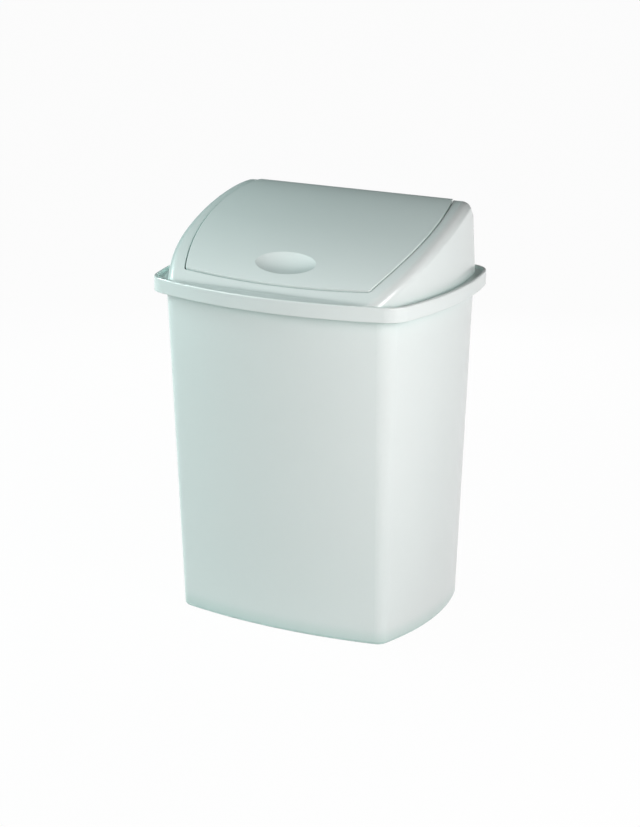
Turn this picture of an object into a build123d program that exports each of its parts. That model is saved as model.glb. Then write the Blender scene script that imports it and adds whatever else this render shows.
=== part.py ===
"""Countertop swing-lid bin: a bucket, a lift-off lid hood and a flap that swings in the hood.

Millimetres, +Z up, the front is -Y, +X is the bin's left as it faces you.
The origin is the middle of the footprint, on the surface that the bin stands on.
"""

import math
import os

from build123d import *

# Rim of the hood, the widest outline of the bin
rim_width = 240.0
rim_depth = 193.8
rim_corner = 20.5
side_bow = 8.2
front_bow = 14.4
skirt_wall = 2.0
skirt_height = 11.5
lip_edge_radius = 1.2

# Bucket
mouth_height = 269.6
mouth_width = 226.2
mouth_depth = 179.6
mouth_corner = 19.7
mouth_side_bow = 9.8
mouth_front_bow = 12.4
foot_width = 202.8
foot_depth = 152.4
foot_corner = 10.0
foot_side_bow = 8.8
foot_front_bow = 8.3
foot_edge_radius = 3.0
bucket_wall = 2.0
base_thickness = 2.4
base_recess = 2.0
foot_ring = 8.0
flange_thickness = 2.4
flange_drop = 5.0
flange_wall = 1.8
flange_clearance = 0.5
gusset_thickness = 1.6
gussets_per_side = 3

# Hood: how far its walls stand in from the rim, and the side view of its roof
wall_inset = 8.2
wall_draft = 2.6
hood_skin = 2.0
hood_edge_radius = 8.0
cheek_turn = 29.0
cheek_radius = 133.0
gutter_depth = 2.8
gutter_floor = 2.0
seat_clearance = 0.3
crown_height = 330.1
crown_back = 55.0
crown_radius = 9.0
back_slope = 40.0
back_roof_radius = 150.0
crown_run = 33.6
roof_start = 88.0
front_band_inset = 1.5
front_run = 16.2
shoulder_run = -4.0
shoulder_rise = 9.0

# Flap
flap_front = 71.3
flap_front_width = 160.6
flap_front_bow = 4.2
flap_side_radius = 170.0
flap_back_curl = 9.0
flap_proud = 1.0
flap_skin = 1.9
flap_corner = 2.5
flap_gap = 1.0
flap_skirt = 6.0
flap_skirt_wall = 1.8
flap_back_drop = 4.0
dimple_width = 52.0
dimple_height = 27.0
dimple_depth = 3.0
dimple_from_edge = 19.6

# Hinge and the hood's frame round the opening
pivot_y = -22.0
pin_radius = 2.6
pin_fit = 0.05
pin_cover = 5.6
pin_chamfer = 0.6
pin_reach = 0.8
boss_radius = 5.0
ear_radius = 7.5
ear_thickness = 3.0
frame_wall = 2.0
frame_depth = 6.0
ledge_width = 5.0
ledge_wall = 1.6
ledge_clearance = 0.3
ear_gap = 0.8
ear_drop = 8.0
boss_thickness = 2.5
swing_limit = 55.0
stop_top = 9.0
stop_width = 3.0
stop_length = 5.0
stop_clearance = 0.3
rib_thickness = 1.6
front_ribs = 5
rib_pitch = 31.0

# Heights that follow from the above
seat_height = mouth_height + seat_clearance
gutter_height = seat_height + gutter_floor
lip_height = gutter_height + gutter_depth
skirt_foot = lip_height - skirt_height
above_all = crown_height + 40.0


def arc_half_angle(half_chord, bow):
    return 2.0 * math.atan2(bow, half_chord)


def bowed_outline(width, depth, side, front, corner, inset=0.0):
    """A face with four bowed sides that run smoothly into corner arcs; inset moves all of it inwards."""
    corner_x = width / 2 - corner - side
    corner_y = depth / 2 - corner - front
    radius = corner - inset
    side_tilt = arc_half_angle(corner_y, side)
    front_tilt = math.pi / 2 - arc_half_angle(corner_x, front)

    def on_corner(sign_x, sign_y, angle):
        reach_x = corner_x + radius * math.cos(angle)
        reach_y = corner_y + radius * math.sin(angle)
        return (sign_x * reach_x, sign_y * reach_y)

    edges = []
    middle = (side_tilt + front_tilt) / 2
    for sign_x, sign_y in ((1, -1), (1, 1), (-1, 1), (-1, -1)):
        ends = [on_corner(sign_x, sign_y, a) for a in (front_tilt, middle, side_tilt)]
        edges.append(ThreePointArc(*ends))
    for sign in (1, -1):
        lower = on_corner(sign, -1, side_tilt)
        upper = on_corner(sign, 1, side_tilt)
        edges.append(ThreePointArc(lower, (sign * (width / 2 - inset), 0), upper))
        left = on_corner(-1, sign, front_tilt)
        right = on_corner(1, sign, front_tilt)
        edges.append(ThreePointArc(left, (0, sign * (depth / 2 - inset)), right))
    return make_face(Wire(edges))


def rim_outline(inset=0.0):
    return bowed_outline(rim_width, rim_depth, side_bow, front_bow, rim_corner, inset)


def mouth_outline(inset=0.0):
    return bowed_outline(
        mouth_width, mouth_depth, mouth_side_bow, mouth_front_bow, mouth_corner, inset
    )


def foot_outline(inset=0.0):
    return bowed_outline(
        foot_width, foot_depth, foot_side_bow, foot_front_bow, foot_corner, inset
    )


def prism(face, low, high):
    return extrude(Pos(0, 0, low) * face, amount=high - low, dir=(0, 0, 1))


# ---- Bucket ---------------------------------------------------------------


def bucket_taper(inset, low):
    """The tapered body of the bucket, inset by a wall and cut off below a height."""
    foot = foot_outline(inset)
    mouth = Pos(0, 0, mouth_height) * mouth_outline(inset)
    body = loft([foot, mouth], ruled=True)
    if low > 0:
        body -= prism(Rectangle(rim_width * 2, rim_depth * 2), -1, low)
    return body


def lowest_edges(solid):
    return solid.edges().group_by(Axis.Z)[0]


def make_bucket():
    outer = fillet(lowest_edges(bucket_taper(0, 0)), foot_edge_radius)
    floor_height = base_recess + base_thickness
    inner = bucket_taper(bucket_wall, floor_height)
    flange_inset = skirt_wall + flange_clearance
    flange_face = rim_outline(flange_inset)
    flange = prism(flange_face, mouth_height - flange_thickness, mouth_height)
    lip = prism(flange_face, mouth_height - flange_drop, mouth_height)
    lip -= prism(rim_outline(flange_inset + flange_wall), 0, above_all)
    recess = prism(foot_outline(foot_ring), -1, base_recess)
    bucket = outer + flange + lip + flange_gussets(flange_inset)
    return bucket - inner - recess


def flange_gussets(flange_inset):
    """Small webs between the flange's turned-down lip and the wall, along the two long sides."""
    low = mouth_height - flange_drop
    zone = prism(rim_outline(flange_inset + flange_wall / 2), low, mouth_height)
    zone -= prism(mouth_outline(bucket_wall / 2), low - 1, mouth_height + 1)
    webs = Part()
    for index in range(gussets_per_side):
        place = (index - (gussets_per_side - 1) / 2) * rim_depth / (gussets_per_side + 1)
        webs += Pos(0, place, low + flange_drop / 2) * Box(rim_width, gusset_thickness, flange_drop)
    return zone & webs


# ---- Side view of the roof, and the solids cut from it ----------------------


def front_curve(low, top):
    """The roof's long front curve, from the flat front band up to the crown, in the YZ plane."""
    return Bezier(*[(0, y, z) for y, z in front_points(low, top)])


def front_points(low, top):
    return (
        (-roof_start, low),
        (-roof_start + front_run, low),
        (-roof_start + shoulder_run, low + shoulder_rise),
        (crown_back - crown_run, top),
        (crown_back, top),
    )


def roof_profile(lift, skin=0.0):
    """The YZ side view of everything below the roof; lift raises it, skin lowers it."""
    rise = lift - skin
    low = lip_height + rise
    top = crown_height + rise
    turn = math.radians(back_slope)
    far_back = rim_depth / 2 + 5

    def on_crown(angle):
        drop = crown_radius * (1 - math.cos(angle))
        return (0, crown_back + crown_radius * math.sin(angle), top - drop)

    brow = on_crown(turn)
    centre_y = brow[1] - back_roof_radius * math.sin(turn)
    centre_z = brow[2] - back_roof_radius * math.cos(turn)

    def on_back(y):
        return (0, y, centre_z + math.sqrt(back_roof_radius**2 - (y - centre_y) ** 2))

    foot = on_back(far_back)
    crown = ThreePointArc(on_crown(0), on_crown(turn / 2), brow)
    back = ThreePointArc(brow, on_back((brow[1] + far_back) / 2), foot)
    far_front = -rim_depth / 2 - 20
    base = 100.0
    ends = Polyline(
        foot, (0, far_back, base), (0, far_front, base), (0, far_front, low), (0, -roof_start, low)
    )
    return make_face(Wire([front_curve(low, top), crown, back, *ends.edges()]))


def under_roof(lift=0.0, skin=0.0):
    return extrude(Pos(-rim_width, 0, 0) * roof_profile(lift, skin), amount=2 * rim_width, dir=(1, 0, 0))


def roof_band(top_lift, depth):
    """A slice of the space under the roof, depth thick, measured straight down."""
    return under_roof(top_lift) - under_roof(top_lift, depth)


# ---- Hood -------------------------------------------------------------------


def hood_plan(inset):
    """The walls' plan: rounded behind, and in front the cheeks turn in until they cross the rim's corners."""
    corner_x = rim_width / 2 - rim_corner - side_bow
    corner_y = rim_depth / 2 - rim_corner - front_bow
    radius = rim_corner - inset
    bow_radius = (corner_y**2 + side_bow**2) / (2 * side_bow)
    centre_x = corner_x + side_bow - bow_radius
    side_radius = bow_radius + radius
    side_tilt = arc_half_angle(corner_y, side_bow)
    back_tilt = math.pi / 2 - arc_half_angle(corner_x, front_bow)
    turn_tilt = math.asin(cheek_turn / (bow_radius + rim_corner))
    cheek = cheek_radius - inset
    reach = bow_radius + rim_corner - cheek_radius
    cheek_x = centre_x + reach * math.cos(turn_tilt)
    cheek_y = -reach * math.sin(turn_tilt)
    front_y = -rim_depth / 2 - 10
    front_tilt = math.asin((cheek_y - front_y) / cheek)

    def on_corner(sign, angle):
        return (sign * (corner_x + radius * math.cos(angle)), corner_y + radius * math.sin(angle))

    def on_cheek(sign, angle):
        return (sign * (cheek_x + cheek * math.cos(angle)), cheek_y - cheek * math.sin(angle))

    tip = on_cheek(1, front_tilt)
    edges = [Line((-tip[0], tip[1]), tip)]
    for sign in (1, -1):
        start = on_cheek(sign, front_tilt)
        bend = on_cheek(sign, turn_tilt)
        edges.append(ThreePointArc(start, on_cheek(sign, (front_tilt + turn_tilt) / 2), bend))
        turn = on_corner(sign, side_tilt)
        edges.append(ThreePointArc(bend, (sign * (centre_x + side_radius), 0), turn))
        middle = on_corner(sign, (side_tilt + back_tilt) / 2)
        edges.append(ThreePointArc(turn, middle, on_corner(sign, back_tilt)))
    back = rim_depth / 2 - inset
    edges.append(ThreePointArc(on_corner(-1, back_tilt), (0, back), on_corner(1, back_tilt)))
    return make_face(Wire(edges))


def hood_envelope(inset, skin, edge_radius):
    """Walls and roof as one solid, with the long roof edge rounded."""
    low = skirt_foot - 5
    walls = extrude(
        Pos(0, 0, low) * hood_plan(inset), amount=above_all - low, dir=(0, 0, 1), taper=wall_draft
    )
    solid = walls & under_roof(0, skin)
    roof_edges = [
        e
        for e in solid.edges()
        if e.bounding_box().min.Z > skirt_foot + 5
        and (abs(e.center().X) > rim_width / 4 or e.center().Y > rim_depth / 3)
    ]
    return fillet(roof_edges, edge_radius)


def side_reach(y, margin=0.0):
    """How far the flap's side edge stands from the middle, at a place along the bin."""
    return flap_side_centre() + math.sqrt((flap_side_radius + margin) ** 2 - y**2)


def flap_side_centre():
    return flap_front_width / 2 - math.sqrt(flap_side_radius**2 - flap_front**2)


def flap_plan(margin=0.0):
    """The flap seen from above: two side discs, a front disc and a straight back edge, all moved by margin."""
    half = flap_front_width / 2
    front_radius = (half**2 + flap_front_bow**2) / (2 * flap_front_bow)
    centre = flap_side_centre()
    side_disc = Circle(flap_side_radius + margin)
    front_disc = Pos(0, front_radius - flap_front - flap_front_bow) * Circle(front_radius + margin)
    back = flap_back() + margin
    depth = rim_depth + back
    window = Pos(0, back - depth / 2) * Rectangle(rim_width, depth)
    plan = Pos(centre, 0) * side_disc & Pos(-centre, 0) * side_disc & front_disc & window
    return fillet(plan.vertices(), flap_corner + margin)


def flap_back():
    return crown_back + flap_back_curl


def flap_foot():
    """Height of the lower edge of the flap's turned-down back."""
    return crown_height + flap_proud - flap_back_curl - flap_back_drop


def roof_height(y):
    """Height of the hood's roof at a place in front of the crown."""
    ys, zs = zip(*front_points(lip_height, crown_height))

    def at(values, t):
        return sum(math.comb(4, i) * (1 - t) ** (4 - i) * t**i * v for i, v in enumerate(values))

    low, high = 0.0, 1.0
    for _ in range(50):
        middle = (low + high) / 2
        if at(ys, middle) < y:
            low = middle
        else:
            high = middle
    return at(zs, low)


pivot_z = roof_height(pivot_y) + flap_proud - pin_cover
ear_face = side_reach(0) + ear_gap


def along_x(sketch, low, high):
    """A solid made from a sketch drawn as Y and Z, between two places along X."""
    plane = Plane(origin=(low, 0, 0), x_dir=(0, 1, 0), z_dir=(1, 0, 0))
    return extrude(plane * sketch, amount=high - low)


def both_sides(solid):
    return solid + mirror(solid, about=Plane.YZ)


def ear():
    """The plate that carries a hinge pin, hung from the roof beside the opening."""
    plate = Pos(pivot_y, pivot_z - ear_drop) * Circle(ear_radius)
    top = roof_height(pivot_y) + ear_radius
    height = top - pivot_z + ear_drop
    plate += Pos(pivot_y, pivot_z - ear_drop + height / 2) * Rectangle(2 * ear_radius, height)
    return along_x(plate, ear_face, ear_face + ear_thickness) & under_roof(0, hood_skin / 2)


def open_stop():
    """A short bar inside each ear, which the flap's skirt meets when the flap is fully open."""
    top = stop_top
    run = 0.0
    while math.hypot(run, roof_height(pivot_y - run) + flap_proud - flap_skirt - pivot_z) < top:
        run += 0.05
    rise = roof_height(pivot_y - run) + flap_proud - flap_skirt - pivot_z
    turn = math.radians(swing_limit)
    met = -run * math.cos(turn) - rise * math.sin(turn)
    y = pivot_y + met + stop_clearance + stop_width / 2
    z = pivot_z - top - stop_length / 2
    inner = side_reach(pivot_y - run) - flap_skirt_wall
    return along_x(Pos(y, z) * Rectangle(stop_width, stop_length), inner, ear_face + ear_thickness / 2)


def frame(inside):
    """The turned-down wall round the opening, deeper at the back, where it holds a ledge for the flap."""
    ring = prism(flap_plan(flap_gap + frame_wall), skirt_foot, above_all)
    ring -= prism(flap_plan(flap_gap), skirt_foot - 1, above_all + 1)
    wall = ring & roof_band(-hood_skin / 2, frame_depth)
    ledge_top = flap_foot() - ledge_clearance
    back = flap_back() + flap_gap
    plate = prism(flap_plan(flap_gap + frame_wall), ledge_top - ledge_wall, ledge_top)
    ledge_zone = Box(
        rim_width, ledge_width + frame_wall, 2 * above_all, align=(Align.CENTER, Align.MAX, Align.CENTER)
    )
    ledge = plate & Pos(0, back + frame_wall, 0) * ledge_zone
    back_wall = ring & Pos(0, back + frame_wall, 0) * ledge_zone
    back_wall &= prism(rim_outline(), ledge_top - ledge_wall, above_all)
    back_wall &= under_roof(0, hood_skin / 2)
    return (wall + ledge + back_wall) & inside


def front_gussets():
    """Webs under the front band, which rest on the bucket's flange and join skirt, roof and frame."""
    back = -(flap_front + flap_front_bow)
    depth = rim_depth / 2 + back - flap_gap - frame_wall / 2
    webs = Part()
    for index in range(front_ribs):
        x = (index - (front_ribs - 1) / 2) * rib_pitch
        web = Box(rib_thickness, depth, above_all, align=(Align.CENTER, Align.MIN, Align.MIN))
        webs += Pos(x, -rim_depth / 2, seat_height) * web
    webs &= prism(rim_outline(skirt_wall / 2), seat_height, above_all)
    return webs & under_roof(0, hood_skin / 2)


def make_hood():
    outer = hood_envelope(wall_inset, 0, hood_edge_radius)
    inner = hood_envelope(wall_inset + hood_skin, hood_skin, hood_edge_radius - hood_skin)
    inside_rim = prism(rim_outline(skirt_wall), skirt_foot - 10, above_all)
    rim_band = prism(rim_outline(), skirt_foot, lip_height)
    rim_band = fillet(rim_band.edges().group_by(Axis.Z)[-1], lip_edge_radius)
    above_rim = prism(rim_outline(lip_edge_radius), lip_height, above_all)
    front_band = prism(hood_plan(wall_inset + front_band_inset), skirt_foot, lip_height)
    gutter = prism(rim_outline(skirt_wall), gutter_height, above_all) - outer - front_band
    hood = (outer & above_rim) + rim_band - gutter
    hood -= inner & inside_rim
    hood -= prism(rim_outline(skirt_wall), skirt_foot - 1, seat_height)
    hood -= prism(flap_plan(flap_gap), skirt_foot, above_all)
    hood += frame(outer)
    hood += front_gussets()
    hood += both_sides(ear() + open_stop())
    bore_face = Pos(pivot_y, pivot_z) * Circle(pin_radius + pin_fit)
    bore = along_x(bore_face, ear_face - 2 * ear_gap, ear_face + ear_thickness + pin_reach)
    hood -= both_sides(bore)
    return hood


# ---- Flap -------------------------------------------------------------------


def flap_side_view(skin):
    """Everything below the flap's top surface, seen from the side, with the back turned down."""
    rise = flap_proud - skin
    low = lip_height + rise
    top = crown_height + rise
    curl = flap_back_curl - skin
    slant = curl * math.sqrt(0.5)
    crown = (0, crown_back, top)
    back = (0, crown_back + curl, top - curl)
    turn = ThreePointArc(crown, (0, crown_back + slant, top - curl + slant), back)
    base = 100.0
    ends = Polyline(
        back, (0, crown_back + curl, base), (0, -roof_start, base), (0, -roof_start, low)
    )
    return make_face(Wire([front_curve(low, top), turn, *ends.edges()]))


def under_flap(skin=0.0):
    face = Pos(-rim_width, 0, 0) * flap_side_view(skin)
    return extrude(face, amount=2 * rim_width, dir=(1, 0, 0))


def dimple(skin):
    """A barrel lying across the flap, which presses a shallow oval into it."""
    half_height = dimple_height / 2
    above = (half_height**2 / dimple_depth - dimple_depth) / 2
    belly = above + dimple_depth
    half_width = dimple_width / 2
    arc_radius = (half_width**2 + dimple_depth**2) / (2 * dimple_depth) + skin
    reach = half_width * 1.4
    centre_z = belly + skin - arc_radius
    end_z = centre_z + math.sqrt(arc_radius**2 - reach**2)
    outline = ThreePointArc((-reach, 0, end_z), (0, 0, belly + skin), (reach, 0, end_z))
    sides = Polyline((reach, 0, end_z), (reach, 0, 0), (-reach, 0, 0), (-reach, 0, end_z))
    barrel = revolve(make_face(Wire([outline, *sides.edges()])), Axis.X)
    place = -(flap_front + flap_front_bow) + dimple_from_edge
    step = 1.0
    before = roof_height(place - step)
    after = roof_height(place + step)
    slope = math.atan2(after - before, 2 * step)
    height = roof_height(place) + flap_proud
    return Pos(0, place - above * math.sin(slope), height + above * math.cos(slope)) * barrel


def make_flap():
    outer = under_flap() - dimple(0)
    inner = under_flap(flap_skin) - dimple(flap_skin)
    skirt_core = prism(flap_plan(-flap_skirt_wall), skirt_foot, above_all)
    below_skirt = under_flap(flap_skirt)
    panel = prism(flap_plan(), skirt_foot, above_all)
    shell = (outer & panel) - (inner & skirt_core) - below_skirt
    back = Pos(0, crown_back, flap_foot()) * Box(
        rim_width, flap_back_curl, above_all, align=(Align.CENTER, Align.MIN, Align.MAX)
    )
    behind_crown = Pos(0, crown_back, 0) * Box(
        rim_width, 2 * flap_back_curl, 2 * above_all, align=(Align.CENTER, Align.MIN, Align.CENTER)
    )
    back_skin = (under_flap() - under_flap(flap_skin)) & panel & behind_crown
    flap = shell + back_skin - back
    boss_face = side_reach(pivot_y - boss_radius)
    disc = along_x(Pos(pivot_y, pivot_z) * Circle(boss_radius), boss_face - boss_thickness, boss_face)
    pin_end = ear_face + ear_thickness + pin_reach
    pin = along_x(Pos(pivot_y, pivot_z) * Circle(pin_radius), boss_face - boss_thickness, pin_end)
    pin = chamfer(pin.edges().group_by(Axis.X)[-1], pin_chamfer)
    return flap + both_sides((disc & under_flap(flap_skin / 2)) + pin)


if __name__ == "__main__":
    os.makedirs("parts", exist_ok=True)
    for name, make in (("bucket", make_bucket), ("hood", make_hood), ("flap", make_flap)):
        shape = make()
        solids = shape.solids()
        print(name, round(shape.volume), shape.is_valid, len(solids), [round(s.volume, 1) for s in solids])
        print("   centre", shape.center(CenterOf.MASS), shape.bounding_box())
        export_step(shape, f"parts/{name}.step")
    print("pivot", pivot_y, pivot_z)
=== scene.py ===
# %% [markdown]
# # A countertop bin with a swing lid
# The bin is three moulded pieces of white polypropylene: a tapered bucket, a
# lid hood that drops over its mouth, and a flap that swings in the hood.
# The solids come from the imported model, which also says which piece moves with
# which body. This lesson gives them their finish, light and camera. All lengths
# are in metres.

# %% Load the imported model
import math

import bpy
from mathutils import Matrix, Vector

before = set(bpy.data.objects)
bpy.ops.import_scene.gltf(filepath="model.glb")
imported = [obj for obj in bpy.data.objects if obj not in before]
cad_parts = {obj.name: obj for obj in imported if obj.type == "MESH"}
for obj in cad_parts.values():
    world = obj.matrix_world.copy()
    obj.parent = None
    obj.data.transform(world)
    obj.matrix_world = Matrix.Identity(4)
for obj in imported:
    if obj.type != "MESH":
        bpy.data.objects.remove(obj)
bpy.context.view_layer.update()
scene = bpy.context.scene

# %% [markdown]
# ## Writing shader maths as plain expressions
# A node tree is a sum of small steps, and wiring each by hand hides the sum.
# One class wraps an output socket and overloads + - * in both orders, so the maths
# of a finish reads like maths, and 1 - mask works as well. Any other node comes
# from one method, `node`, which takes the node's type, its settings, and its inputs
# by name, or by number where a node gives one name to several sockets.


# %% A wrapper for sockets
class Wire:
    """An output socket with arithmetic: each operator adds one Math node."""

    def __init__(self, tree, socket):
        self.tree, self.socket = tree, socket

    def math(self, operation, left, right):
        return Tree(self.tree).node("ShaderNodeMath", {0: left, 1: right}, operation=operation)

    def __add__(self, other):
        return self.math("ADD", self, other)

    def __radd__(self, other):
        return self.math("ADD", other, self)

    def __sub__(self, other):
        return self.math("SUBTRACT", self, other)

    def __rsub__(self, other):
        return self.math("SUBTRACT", other, self)

    def __mul__(self, other):
        return self.math("MULTIPLY", self, other)

    def __rmul__(self, other):
        return self.math("MULTIPLY", other, self)


class Tree:
    """Adds nodes to a node tree."""

    def __init__(self, tree):
        self.tree = tree

    def node(self, kind, inputs=None, out=0, **settings):
        made = self.tree.nodes.new(kind)
        for name, value in settings.items():
            setattr(made, name, value)
        for name, value in (inputs or {}).items():
            if isinstance(value, Wire):
                self.tree.links.new(value.socket, made.inputs[name])
            else:
                made.inputs[name].default_value = value
        return Wire(self.tree, made.outputs[out]) if made.outputs else made

    def fade(self, value, start, end, before, after):
        """Goes straight from before to after as value goes from start to end, and holds beyond."""
        ends = {"From Min": start, "From Max": end, "To Min": before, "To Max": after}
        return self.node("ShaderNodeMapRange", {"Value": value, **ends})


def new_material(name):
    """An empty node material and its tree."""
    material = bpy.data.materials.new(name)
    material.use_nodes = True
    material.node_tree.nodes.clear()
    return material, Tree(material.node_tree)


# %% [markdown]
# ## The camera
# The bin's front faces -Y. The camera stands 29 degrees round from there towards
# +X and looks a little down, with a long lens that keeps the bin's upright edges
# nearly parallel.

# %% Camera
CAMERA_PLACE = (0.8280, -1.4954, 0.6725)
CAMERA_YAW = 29.0
CAMERA_DOWN = 16.747
CAMERA_LENS = 97.08
SENSOR_WIDTH = 36

camera = bpy.data.objects.new("camera", bpy.data.cameras.new("camera"))
scene.collection.objects.link(camera)
camera.location = CAMERA_PLACE
camera.rotation_euler = (math.radians(90 - CAMERA_DOWN), 0, math.radians(CAMERA_YAW))
camera.data.lens = CAMERA_LENS
camera.data.sensor_fit = "AUTO"
camera.data.sensor_width = SENSOR_WIDTH
scene.camera = camera
print("camera lens", CAMERA_LENS, "mm")

# %% [markdown]
# ## White moulded plastic
# Polypropylene has a satin gloss. A second, sharper gloss lies over it as a coat
# and gives the fine highlights. Real polypropylene has no such layer: the coat
# stands in for a surface that looks both soft and crisp.
#
# A large moulding is never quite flat: the mould leaves a fine orange peel, and
# shrinkage leaves wide, shallow waves. Every edge of a moulding is a little round
# as well. The Bevel node rounds the normals of the sharp edges, and two noises,
# one broad and one fine, bend them. Painted textures would need unwrapped pieces:
# noise in a piece's own coordinates needs none, and moves with the piece. The
# colour drifts by about three percent at most, so that it still reads as one white
# material.
#
# The Ambient Occlusion node finds the nooks, such as the gutter, the gap round the
# flap and the body under the rim. There the colour turns darker and green grey:
# this is painted shade, which deepens their shade beyond what the lamps alone give.

# %% Plastic finish
PLASTIC_WHITE = (0.805, 0.872, 0.858)
PLASTIC_SHADED = (0.78, 0.854, 0.838)
# Painted shade: the darker green grey colour that the nooks are given.
PAINTED_NOOK_SHADE = (0.53, 0.71, 0.67)
PLASTIC_IOR = 1.49
COAT_WEIGHT = 0.6
COAT_ROUGHNESS = 0.13
COAT_IOR = 1.5
EDGE_RADIUS = 0.0006
DRIFT_SCALE = 9.0
WAVE_SCALE = 26.0
PEEL_SCALE = 900.0
WAVE_HEIGHT = 0.0002
PEEL_HEIGHT = 0.000012
BUMP_STRENGTH = 0.5
ROUGHNESS_DRIFT = 0.06
NOOK_SOFTNESS = 0.5


def opaque(colour):
    return (*colour, 1)


def moulded_plastic(name, roughness, peel, nook_reach, nook_open):
    """A satin white plastic; peel scales its waviness.

    The painted nook shade looks nook_reach metres around, and starts where the share
    of open directions falls below nook_open.
    """
    material, tree = new_material(name)
    place = tree.node("ShaderNodeTexCoord", out="Object")

    def noise(scale, detail):
        return tree.node("ShaderNodeTexNoise", {"Vector": place, "Scale": scale, "Detail": detail})

    def blend(share, first, second):
        # Sockets 6 and 7 are the Mix node's two colours, and its third output is the mixed colour.
        return tree.node("ShaderNodeMix", {0: share, 6: first, 7: second}, out=2, data_type="RGBA")

    drift = noise(DRIFT_SCALE, detail=2.0)
    peel_noise = noise(PEEL_SCALE, detail=1.0)
    wave_noise = noise(WAVE_SCALE, detail=1.0)
    colour = blend(drift, opaque(PLASTIC_WHITE), opaque(PLASTIC_SHADED))
    openness = tree.node("ShaderNodeAmbientOcclusion", {"Distance": nook_reach}, out="AO", samples=8)
    painted_shade_share = tree.fade(openness, nook_open - NOOK_SOFTNESS, nook_open, before=1.0, after=0.0)
    # Painted shade: nooks that the Ambient Occlusion node finds turn darker and green grey.
    colour = blend(painted_shade_share, colour, opaque(PAINTED_NOOK_SHADE))
    rounded = tree.node("ShaderNodeBevel", {"Radius": EDGE_RADIUS}, samples=6)
    relief = peel_noise * (PEEL_HEIGHT * peel) + wave_noise * (WAVE_HEIGHT * peel)
    bump = {"Strength": BUMP_STRENGTH, "Distance": 1.0, "Height": relief, "Normal": rounded}
    normal = tree.node("ShaderNodeBump", bump)
    surface = tree.node(
        "ShaderNodeBsdfPrincipled",
        {
            "Base Color": colour,
            "Roughness": roughness + (drift - 0.5) * ROUGHNESS_DRIFT,
            "Normal": normal,
            "IOR": PLASTIC_IOR,
            "Specular IOR Level": 0.5,
            "Coat Weight": COAT_WEIGHT,
            "Coat Roughness": COAT_ROUGHNESS,
            "Coat IOR": COAT_IOR,
            "Coat Normal": normal,
        },
    )
    tree.node("ShaderNodeOutputMaterial", {"Surface": surface})
    return material


bucket_plastic = moulded_plastic("bucket_plastic", roughness=0.36, peel=1.0, nook_reach=0.020, nook_open=0.9)
hood_plastic = moulded_plastic("hood_plastic", roughness=0.32, peel=0.8, nook_reach=0.009, nook_open=0.68)
flap_plastic = moulded_plastic("flap_plastic", roughness=0.34, peel=0.8, nook_reach=0.009, nook_open=0.68)
print("finishes:", bucket_plastic.name, hood_plastic.name, flap_plastic.name)

# %% [markdown]
# ## Dressing the three pieces
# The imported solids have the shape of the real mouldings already, so no piece is
# modelled again: each solid gets a plastic of its own. The bucket, the largest
# moulding, is a little rougher and wavier than the hood and the flap.

# %% Dress the solids
for node, material in (("bucket", bucket_plastic), ("hood", hood_plastic), ("flap", flap_plastic)):
    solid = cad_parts[node]
    solid.data.materials.clear()
    solid.data.materials.append(material)
    print(node, "wears", material.name)

# %% [markdown]
# ## The floor
# The floor is plain and pale. Lamps strong enough to light it to white would burn
# out the bin as well. So Light Path turns it white for the camera and for the
# reflections in the plastic, with a trace of the bin's shadow left in it, while the
# light that it throws back on the bin is that of an ordinary pale floor.

# %% Floor
FLOOR_SIZE = 12.0
FLOOR_COLOUR = (0.82, 0.83, 0.83)
WHITENED = 0.97
WHITE = (1, 1, 1)
LIGHT_PATH = "ShaderNodeLightPath"

bpy.ops.mesh.primitive_plane_add(size=FLOOR_SIZE)
floor = bpy.context.object
floor.name = "floor"
floor_material, tree = new_material("pale_floor")
camera_ray = tree.node(LIGHT_PATH, out="Is Camera Ray")
mirror_ray = tree.node(LIGHT_PATH, out="Is Glossy Ray") + tree.node(LIGHT_PATH, out="Is Transmission Ray")
paper = tree.node("ShaderNodeBsdfDiffuse", {"Color": opaque(FLOOR_COLOUR)})
glow = tree.node("ShaderNodeEmission", {"Color": opaque(WHITE), "Strength": 1.0})
mixed = tree.node("ShaderNodeMixShader", {0: (camera_ray + mirror_ray) * WHITENED, 1: paper, 2: glow})
tree.node("ShaderNodeOutputMaterial", {"Surface": mixed})
floor.data.materials.append(floor_material)
print("floor:", FLOOR_SIZE, "m across")

# %% [markdown]
# ## Light
# Near soft boxes stand round the bin. Three on the +X side hold the body's side
# almost white, and two on the -X side, a little cool, brighten the lid and draw
# the shadow under the rim. A low one lights the rear, and leaves no reflection,
# so that the outline of the crown stays clear. Nothing hangs overhead, and the
# flap darkens towards the crown.


# %% Lamps
LID_HEIGHT = 0.29
BOX_DISTANCE = 0.95
BOX_SIZE = 0.4


def bearing(turn, climb):
    """The unit vector at turn degrees from the front (-Y) towards +X, and climb degrees up."""
    around, up = math.radians(turn), math.radians(climb)
    return Vector((math.sin(around) * math.cos(up), -math.cos(around) * math.cos(up), math.sin(up)))


def soft_box(name, turn, climb, power, colour, mirrored=True):
    """A square lamp aimed at the lid; one that isn't mirrored leaves no reflection."""
    lamp = bpy.data.lights.new(name, "AREA")
    lamp.shape = "SQUARE"
    lamp.size = BOX_SIZE
    lamp.energy = power
    lamp.color = colour
    holder = bpy.data.objects.new(name, lamp)
    scene.collection.objects.link(holder)
    holder.location = Vector((0, 0, LID_HEIGHT)) + bearing(turn, climb) * BOX_DISTANCE
    holder.rotation_euler = bearing(turn, climb).to_track_quat("Z", "Y").to_euler()
    holder.visible_glossy = mirrored
    print("lamp:", name, power, "W")


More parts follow.
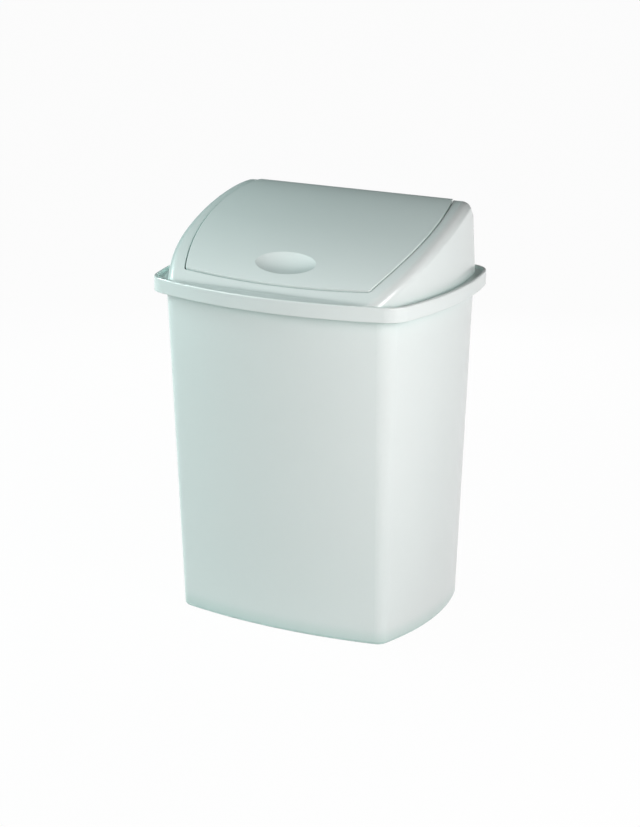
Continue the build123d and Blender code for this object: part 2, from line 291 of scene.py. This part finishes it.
soft_box("lid_box", -80, 25, 5.6, (0.78, 1.0, 0.98))
soft_box("lid_front_box", -42, 17, 2.3, (0.88, 1.0, 0.98))
soft_box("corner_box", 45, 6, 2.35, (1.0, 0.90, 0.89))
soft_box("side_box", 71, 15, 4.5, (1.0, 0.98, 0.985))
soft_box("rear_side_box", 110, 12, 0.25, (0.95, 1.0, 1.0))
soft_box("rear_box", -155, 6, 3.0, (1.0, 0.98, 0.98), mirrored=False)

# %% [markdown]
# ## What the plastic mirrors
# A glossy surface shows the room round it, and that room is made in the world.
# Light Path tells the rays apart. Camera rays see plain white behind the bin.
# Mirrored rays see white up to about the horizon, a dark room above it, and one
# wide patch of light high on the -X side. All other rays see black, so that the lamps
# and the floor alone light the bin, and the patch is only ever a reflection.

# %% World
BACKDROP_FULL = -0.05
BACKDROP_TOP = 0.03
PATCH_TURN, PATCH_CLIMB = -48, 42
PATCH_SPREAD = 60
PATCH_STRENGTH = 2.6

world = bpy.data.worlds.new("studio")
scene.world = world
world.use_nodes = True
world.node_tree.nodes.clear()
tree = Tree(world.node_tree)
direction = tree.node("ShaderNodeTexCoord", out="Generated")
height = tree.node("ShaderNodeSeparateXYZ", {"Vector": direction}, out="Z")
backdrop = tree.fade(height, BACKDROP_FULL, BACKDROP_TOP, before=1.0, after=0.0)
to_patch = {0: direction, 1: bearing(PATCH_TURN, PATCH_CLIMB)}
nearness = tree.node("ShaderNodeVectorMath", to_patch, out="Value", operation="DOT_PRODUCT")
patch_edge = math.cos(math.radians(PATCH_SPREAD))
patch = tree.fade(nearness, patch_edge, 1.0, before=0.0, after=PATCH_STRENGTH)
camera_ray = tree.node(LIGHT_PATH, out="Is Camera Ray")
mirror_ray = tree.node(LIGHT_PATH, out="Is Glossy Ray") + tree.node(LIGHT_PATH, out="Is Transmission Ray")
mirrored_light = (backdrop + patch) * mirror_ray
room = tree.node("ShaderNodeBackground", {"Color": opaque(WHITE), "Strength": mirrored_light})
white = tree.node("ShaderNodeBackground", {"Color": opaque(WHITE), "Strength": 1.0})
mixed = tree.node("ShaderNodeMixShader", {0: camera_ray, 1: room, 2: white})
tree.node("ShaderNodeOutputWorld", {"Surface": mixed})
scene.view_settings.view_transform = "Standard"
print("world: a patch of strength", PATCH_STRENGTH, "for reflections, view transform Standard")
